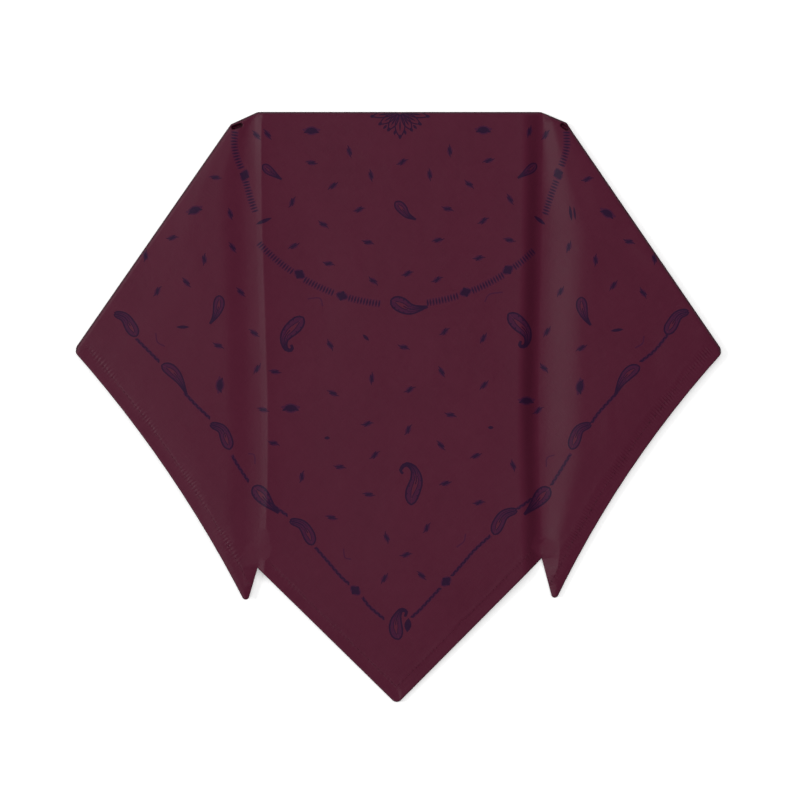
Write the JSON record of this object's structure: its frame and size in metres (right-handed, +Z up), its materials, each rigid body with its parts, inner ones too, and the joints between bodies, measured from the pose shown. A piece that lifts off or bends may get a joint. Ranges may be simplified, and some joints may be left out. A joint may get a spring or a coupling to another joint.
{
  "type": "folded bandana",
  "caption": "Hemmed square of printed cotton folded corner to corner and laid flat, side corners turned under, a soft pleat beside each wing.",
  "frame": {"origin": "bottom centre of the bounding box, on the surface that the folded cloth lies on", "axes": "+Z up from the surface, +X to the right across the wings, +Y from the bottom corner towards the top fold"},
  "size_m": [0.4344, 0.3974, 0.0096],
  "materials": {
    "cloth": "matt plain-weave cotton, dark burgundy with a navy paisley print",
    "hem": "turned and stitched edge of the same cotton, machine stitched in matching thread",
    "under_cloth": "hidden plies of the same matt cotton",
    "print": "navy pigment print, matt and a little worn, on the cloth's face",
    "thread": "machine stitches in matching cotton thread"
  },
  "bodies": {
    "root": {"middle_panel": "cloth", "left_wing": "cloth", "right_wing": "cloth", "left_wing_hem": "hem", "right_wing_hem": "hem", "left_bottom_hem": "hem", "right_bottom_hem": "hem", "under_layers": "under_cloth"}
  },
  "joints": []
}
